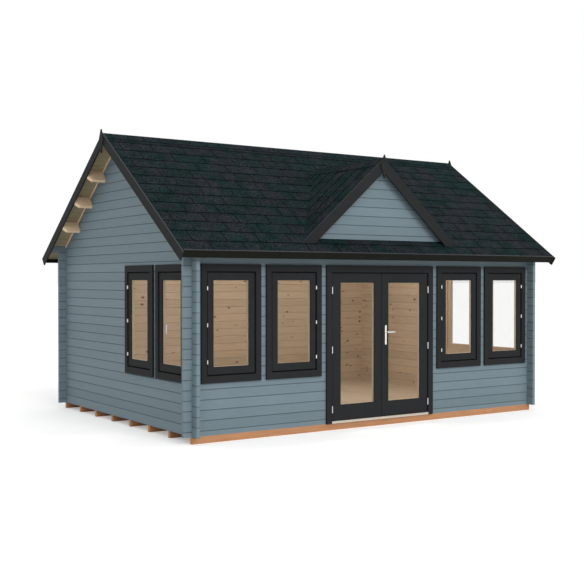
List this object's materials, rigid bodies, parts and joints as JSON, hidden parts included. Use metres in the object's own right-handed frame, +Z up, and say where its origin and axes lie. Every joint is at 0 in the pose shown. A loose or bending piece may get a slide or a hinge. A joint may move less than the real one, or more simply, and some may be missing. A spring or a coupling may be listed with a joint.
{
  "type": "wooden garden house",
  "caption": "Log garden house with pitched shingle roof, front gablet, side-hung casement windows and a pair of glazed doors that open outwards.",
  "frame": {"origin": "on the ground under the middle of the plan, at the underside of the ground timbers", "axes": "+X along the front, to the right seen from outside the doors; +Y from the front to the back; +Z up"},
  "size_m": [5.812, 4.296, 3.672],
  "materials": {
    "painted_logs": "satin blue-grey wood paint over logs",
    "dark_paint": "anthracite wood paint, satin",
    "bare_pine": "planed softwood, no finish",
    "treated_timber": "pressure treated softwood, orange brown",
    "shingle": "bitumen shingle with dark green and slate grey mineral grains",
    "clear_glass": "clear pane",
    "silver_metal": "satin steel",
    "sill_metal": "mill finish"
  },
  "bodies": {
    "house": {"floor_bearers": "treated_timber", "floor_boards": "bare_pine", "front_wall_left": "painted_logs", "front_wall_right": "painted_logs", "front_wall_over_door": "painted_logs", "front_top_log": "painted_logs", "back_wall": "painted_logs", "back_top_log": "painted_logs", "left_gable_wall": "painted_logs", "right_gable_wall": "painted_logs", "roof_purlins": "bare_pine", "roof_boards_front": "bare_pine", "roof_boards_back": "bare_pine", "shingles_front": "shingle", "shingles_back": "shingle", "ridge_shingles": "shingle", "fascia_front": "dark_paint", "fascia_back": "dark_paint", "barge_board_left_back": "dark_paint", "barge_board_left_front": "dark_paint", "barge_board_right_back": "dark_paint", "barge_board_right_front": "dark_paint", "gable_finials": "dark_paint", "gablet_face": "painted_logs", "gablet_boards_left": "bare_pine", "gablet_boards_right": "bare_pine", "gablet_shingles_left": "shingle", "gablet_shingles_right": "shingle", "gablet_ridge_shingles": "shingle", "gablet_barge_left": "dark_paint", "gablet_barge_right": "dark_paint", "gablet_finial": "dark_paint", "window_frames": "dark_paint", "window_sashes": "dark_paint", "window_glass": "clear_glass", "window_hinges": "silver_metal", "window_handles": "silver_metal", "door_frame": "dark_paint", "door_threshold": "sill_metal", "door_frame_hinges": "silver_metal"},
    "left_leaf": {"left_door_leaf": "dark_paint", "left_door_glass": "clear_glass", "left_door_hinges": "silver_metal"},
    "right_leaf": {"right_door_leaf": "dark_paint", "right_door_glass": "clear_glass", "right_door_hinges": "silver_metal", "handle_backplates": "silver_metal"},
    "lever": {"door_lever": "silver_metal"}
  },
  "joints": [
    {"name": "left_door_swing", "type": "hinge", "parent": "house", "child": "left_leaf", "pos_m": [-0.758, -1.915, 0.962], "axis": [0, 0, -1], "range_deg": [0, 105]},
    {"name": "right_door_swing", "type": "hinge", "parent": "house", "child": "right_leaf", "pos_m": [0.758, -1.915, 0.962], "axis": [0, 0, 1], "range_deg": [0, 105]},
    {"name": "lever_turn", "type": "hinge", "parent": "right_leaf", "child": "lever", "pos_m": [0.066, -1.91, 1.158], "axis": [0, 1, 0], "range_deg": [0, 40], "stiffness_Nm_per_rad": 1.5, "springref_deg": -28.65}
  ]
}
